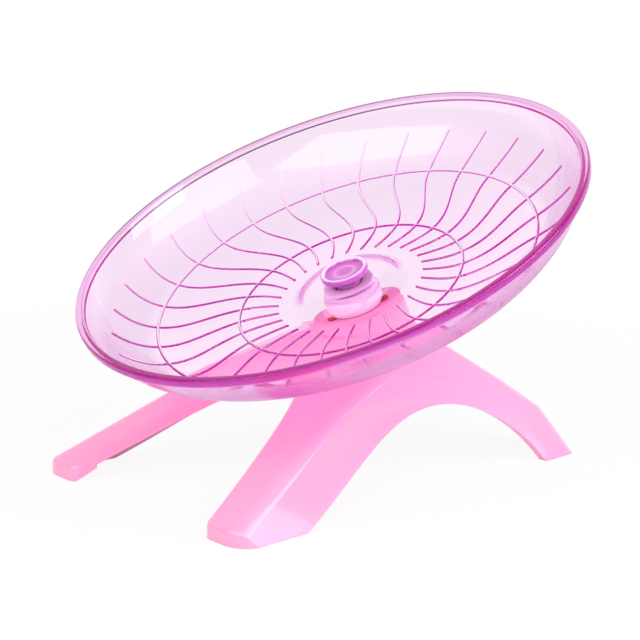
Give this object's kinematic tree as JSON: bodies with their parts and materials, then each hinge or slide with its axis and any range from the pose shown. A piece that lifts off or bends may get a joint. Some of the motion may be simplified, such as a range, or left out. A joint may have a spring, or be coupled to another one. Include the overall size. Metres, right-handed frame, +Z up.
{
  "type": "rodent exercise wheel",
  "caption": "Tilted saucer exercise wheel: a clear ribbed running dish that spins on ball bearings in a pale hub drum, on a glossy four-legged stand.",
  "frame": {"origin": "on the ground, straight below the centre of the dish's rim", "axes": "+X to the wheel's left-right width, +Y to the raised side of the dish, +Z up; the dish tips towards -Y"},
  "size_m": [0.18, 0.1633, 0.122],
  "materials": {
    "clear_magenta": "clear, magenta tint, polished",
    "pink_plastic": "glossy",
    "pale_plastic": "satin, slightly translucent",
    "crimson_rubber": "satin",
    "bearing_steel": "fine ground",
    "ball_steel": "polished",
    "cage_plastic": "matte",
    "spacer_aluminium": "turned"
  },
  "bodies": {
    "stand": {"stand": "pink_plastic", "bearing_housing": "pale_plastic", "housing_nut": "pale_plastic", "seat_ring": "crimson_rubber", "upper_outer_ring": "bearing_steel", "upper_top_shield": "bearing_steel", "upper_bottom_shield": "bearing_steel", "lower_outer_ring": "bearing_steel", "lower_top_shield": "bearing_steel", "lower_bottom_shield": "bearing_steel"},
    "saucer": {"saucer": "clear_magenta", "hub_cap": "clear_magenta", "upper_inner_ring": "bearing_steel", "lower_inner_ring": "bearing_steel", "bearing_spacer": "spacer_aluminium", "screw_washer": "bearing_steel", "retaining_screw": "bearing_steel"},
    "upper_cage": {"upper_cage": "cage_plastic", "upper_balls": "ball_steel"},
    "lower_cage": {"lower_cage": "cage_plastic", "lower_balls": "ball_steel"}
  },
  "joints": [
    {"name": "saucer_spin", "type": "hinge", "parent": "stand", "child": "saucer", "pos_m": [0, 0, 0.0837], "axis": [0, -0.4289, 0.9033], "continuous": true},
    {"name": "upper_cage_spin", "type": "hinge", "parent": "stand", "child": "upper_cage", "pos_m": [0, 0, 0.0837], "axis": [0, -0.4289, 0.9033], "continuous": true},
    {"name": "lower_cage_spin", "type": "hinge", "parent": "stand", "child": "lower_cage", "pos_m": [0, 0, 0.0837], "axis": [0, -0.4289, 0.9033], "continuous": true}
  ],
  "couplings": [
    {"joint": "upper_cage_spin", "follows": "saucer_spin", "ratio": 0.41818},
    {"joint": "lower_cage_spin", "follows": "saucer_spin", "ratio": 0.41818}
  ]
}
